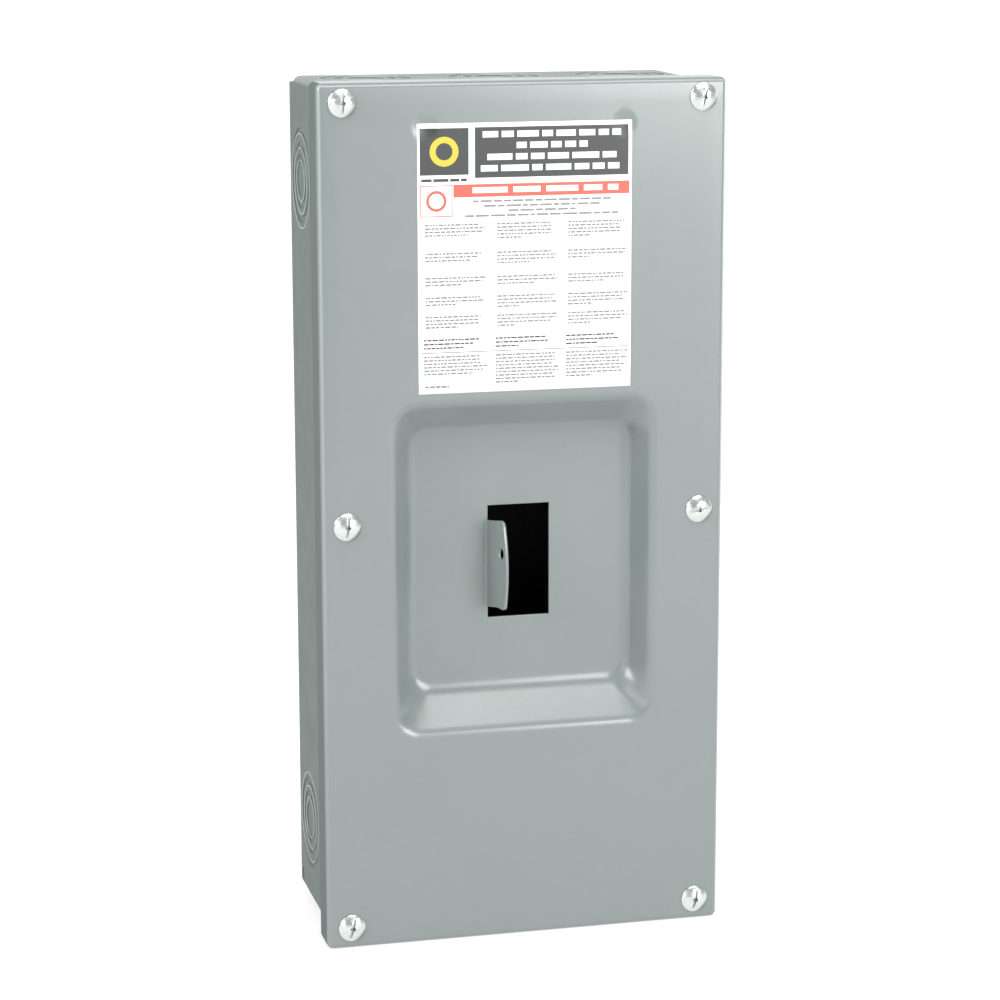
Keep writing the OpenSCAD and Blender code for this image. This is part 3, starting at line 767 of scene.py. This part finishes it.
def build_print():
    """A generic layout: mark, heading, coloured band and columns of bars for small print."""
    rng = random.Random(7)
    dark, grey, band = (Print(INK_LIFT) for _ in range(3))
    pale, amber = (Print(UPPER_INK_LIFT) for _ in range(2))
    dark.block(1.3, 2.5, 27, 26.4)
    amber.ring(14.1, 14.4, 7.6, 4.4)
    dark.block(30.3, 2.3, 112.4, 28.2)
    for row, width in enumerate((74, 38, 69, 76)):
        pale.centred(rng, 71.4, width, 4.4 + row * 5.8, 3.2, (5, 15), 1.8)
    dark.centred(rng, 14, 24, 28.3, 1.5, (4, 9), 0.8)
    band.frame(1.4, 31.6, 18.4, 47.8, 0.5)
    band.ring(9.9, 39.7, 5.4, 3.9)
    band.block(18.9, 31.4, 113, 38)
    pale.centred(rng, 68, 78, 33, 3.0, (9, 24), 3)
    for row, width in enumerate((74, 62, 36, 82)):
        grey.centred(rng, 66, width, 39.7 + row * 2.5, 1.05, (2, 8), 0.9)
    for left, right, counts in ((2.8, 36.6, (4, 3, 3, 3, 4)), (41, 75, (5, 4, 3, 4, 4)),
                                (79, 112.4, (5, 3, 3, 4, 4))):
        tops = (51.6, 66.4, 79, 89.2, 99.2)
        for top, count in zip(tops, counts):
            grey.paragraph(rng, left + 1, right, top, count)
            grey.block(left, top + 0.2, left + 0.6, top + 0.7)
        dark.paragraph(rng, left, right - 4, 111.2, 3, 2.1, 0.85)
    grey.block(1.6, 118, 112.8, 118.5)
    for left, right, count in ((2.8, 37, 6), (41, 76, 9), (79, 112.6, 8)):
        grey.paragraph(rng, left, right, 120, count)
    grey.line(rng, 3.4, 16, 135.6, 1.0)
    dark.make("label_ink_dark", (0.035, 0.038, 0.039))
    grey.make("label_ink_grey", (0.2, 0.205, 0.21))
    band.make("label_ink_salmon", (0.54, 0.1, 0.07))
    pale.make("label_ink_pale", (0.82, 0.82, 0.8))
    amber.make("label_ink_amber", (0.6, 0.46, 0.03))


# ---- what keeps its CAD shape ----

def finish_cad_nodes():
    """Materials on the CAD nodes that show, with a slight bevel where the sheet has an edge. The end
    walls get a lighter copy of the box's enamel, whose darker colour is painted shade.
    """
    slots = {row["node"]: row["material_slot"] for row in frame["record"]["subparts"]}
    for name, node in NODES.items():
        material = MATERIALS["end_wall_paint" if name.endswith("end_wall") else slots[name]]
        for index in range(len(node.data.materials)):
            node.data.materials[index] = material
        if not node.data.materials:
            node.data.materials.append(material)
        add_modifier(node, "weld", "WELD", merge_threshold=0.000002)
        width = 0.3 * MM if "wall" in name or name == "box_body" else 0.12 * MM
        add_modifier(node, "soften", "BEVEL", width=width, segments=2, limit_method="ANGLE",
                     angle_limit=math.radians(40), harden_normals=True)


def add_rim(verts, faces, centre, across, along, radius):
    """A fine round bead in the plane of across and along."""
    around, sides = 96, 8
    start = len(verts)
    for i in range(around):
        angle = math.tau * i / around
        outward = across * math.cos(angle) + along * math.sin(angle)
        for k in range(sides):
            turn = math.tau * k / sides
            offset = outward * math.cos(turn) + across.cross(along) * math.sin(turn)
            verts.append(centre + outward * radius + offset * RIM_TUBE)
    for i in range(around):
        for k in range(sides):
            a, b = start + i * sides, start + (i + 1) % around * sides
            following = (k + 1) % sides
            faces.append((a + k, a + following, b + following, b + k))


def build_knockout_rims():
    """Pale rims for the knockouts of the side walls and the end walls; their pale colour is a painted
    highlight along the knockout edges.
    """
    x_axis, y_axis, z_axis = Vector((1, 0, 0)), Vector((0, 1, 0)), Vector((0, 0, 1))
    body_low, body_high = (Vector(corner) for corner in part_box("box_body"))
    end_low, end_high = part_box("bottom_end_wall")[0][2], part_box("top_end_wall")[1][2]
    verts, faces = [], []
    for radius in KNOCKOUT_RADII:
        for x in (body_low.x, body_high.x):
            for z in (body_low.z + KNOCKOUT_UP, body_high.z - KNOCKOUT_DOWN):
                add_rim(verts, faces, Vector((x, -KNOCKOUT_OUT, z)), y_axis, z_axis, radius)
        for z in (end_low, end_high):
            for x in (-KNOCKOUT_SPACING, 0, KNOCKOUT_SPACING):
                add_rim(verts, faces, Vector((x, -KNOCKOUT_OUT, z)), x_axis, y_axis, radius)
    rims = make_object("knockout_rims", verts, faces, "box", "box_paint")
    rims.data.materials[0] = MATERIALS["box_edges"]


# ---- stage ----

def area_light(name, place, aim, size, power):
    data = bpy.data.lights.new(name, "AREA")
    data.shape = "RECTANGLE"
    data.size, data.size_y = size
    data.energy = power
    light = bpy.data.objects.new(name, data)
    bpy.context.scene.collection.objects.link(light)
    light.location = place
    light.visible_camera = False
    light.rotation_euler = (Vector(aim) - Vector(place)).to_track_quat("-Z", "Y").to_euler()


def build_stage():
    floor_z = cad_bounds[0][2]
    half, rise, radius = 3.0, 2.5, 0.6
    profile = [(-half, 0), (half * 0.5, 0)]
    profile += [(half * 0.5 + radius * math.sin(a), radius * (1 - math.cos(a)))
                for a in (math.pi / 2 * k / 12 for k in range(1, 13))]
    profile.append((half * 0.5 + radius, rise))
    verts = [(side * half, y, floor_z + z) for y, z in profile for side in (-1, 1)]
    faces = [(2 * k, 2 * k + 1, 2 * k + 3, 2 * k + 2) for k in range(len(profile) - 1)]
    mesh = bpy.data.meshes.new("floor")
    mesh.from_pydata(verts, [], faces)
    floor = bpy.data.objects.new("floor", mesh)
    bpy.context.scene.collection.objects.link(floor)
    for polygon in mesh.polygons:
        polygon.use_smooth = True
    shader = Shader("pale_floor", (0.46, 0.46, 0.455), 0.9)
    shader.bsdf.inputs["Emission Color"].default_value = (1, 1, 1, 1)
    shader.bsdf.inputs["Emission Strength"].default_value = 0.6
    shader.vary_color(shader.noise(3, 2), (0.44, 0.44, 0.44), 0.3)
    mesh.materials.append(shader.mat)


def build_lights():
    """White surroundings, a large soft light above and to the right, smaller ones to the left."""
    world = bpy.data.worlds.new("studio")
    world.use_nodes = True
    background = world.node_tree.nodes["Background"]
    background.inputs["Color"].default_value = (1, 1, 1, 1)
    background.inputs["Strength"].default_value = 0.36
    bpy.context.scene.world = world
    area_light("overhead", (0.2, -0.9, 1.7), (0, -0.1, 0), (1.3, 0.8), 22)
    area_light("right_front", (1.15, -2.2, 0.52), (0, -0.1, 0.1), (1.2, 1.0), 36)
    area_light("right", (1.7, 0.35, 0.3), (0, -0.1, 0), (0.7, 1.0), 10)
    area_light("left_front", (-1.6, -1.8, 0.35), (0, -0.1, 0), (0.8, 1.2), 6)
    area_light("left", (-1.6, -0.5, 0.9), (0, -0.1, 0.12), (0.6, 1.2), 21)
    area_light("backdrop", (0, 0.9, 2.2), (0, 1.6, -0.3), (3.5, 1.0), 14)


def build_camera():
    """Camera a little left of the front and a little above, on a long lens."""
    azimuth, elevation, distance = math.radians(14.5), math.radians(11.94), 1.5975
    target = Vector((0, FRONT_Y, COVER_MID.z))
    away = Vector((-math.sin(azimuth) * math.cos(elevation), -math.cos(azimuth) * math.cos(elevation),
                   math.sin(elevation)))
    data = bpy.data.cameras.new("camera")
    data.sensor_width = 36
    data.lens = 108.9
    data.shift_x, data.shift_y = -0.0255, 0.0194
    camera = bpy.data.objects.new("camera", data)
    bpy.context.scene.collection.objects.link(camera)
    camera.location = target + distance * away
    camera.rotation_euler = (-away).to_track_quat("-Z", "Y").to_euler()
    bpy.context.scene.camera = camera


bpy.context.scene.view_settings.view_transform = "Standard"
build_camera()
build_stage()
build_lights()
finish_cad_nodes()
build_knockout_rims()
build_cover()
for screw_node in SCREWS:
    build_screw(screw_node, math.radians(SLOT_TURNS[screw_node.replace("cover_screw_", "")]))
build_label()
build_print()
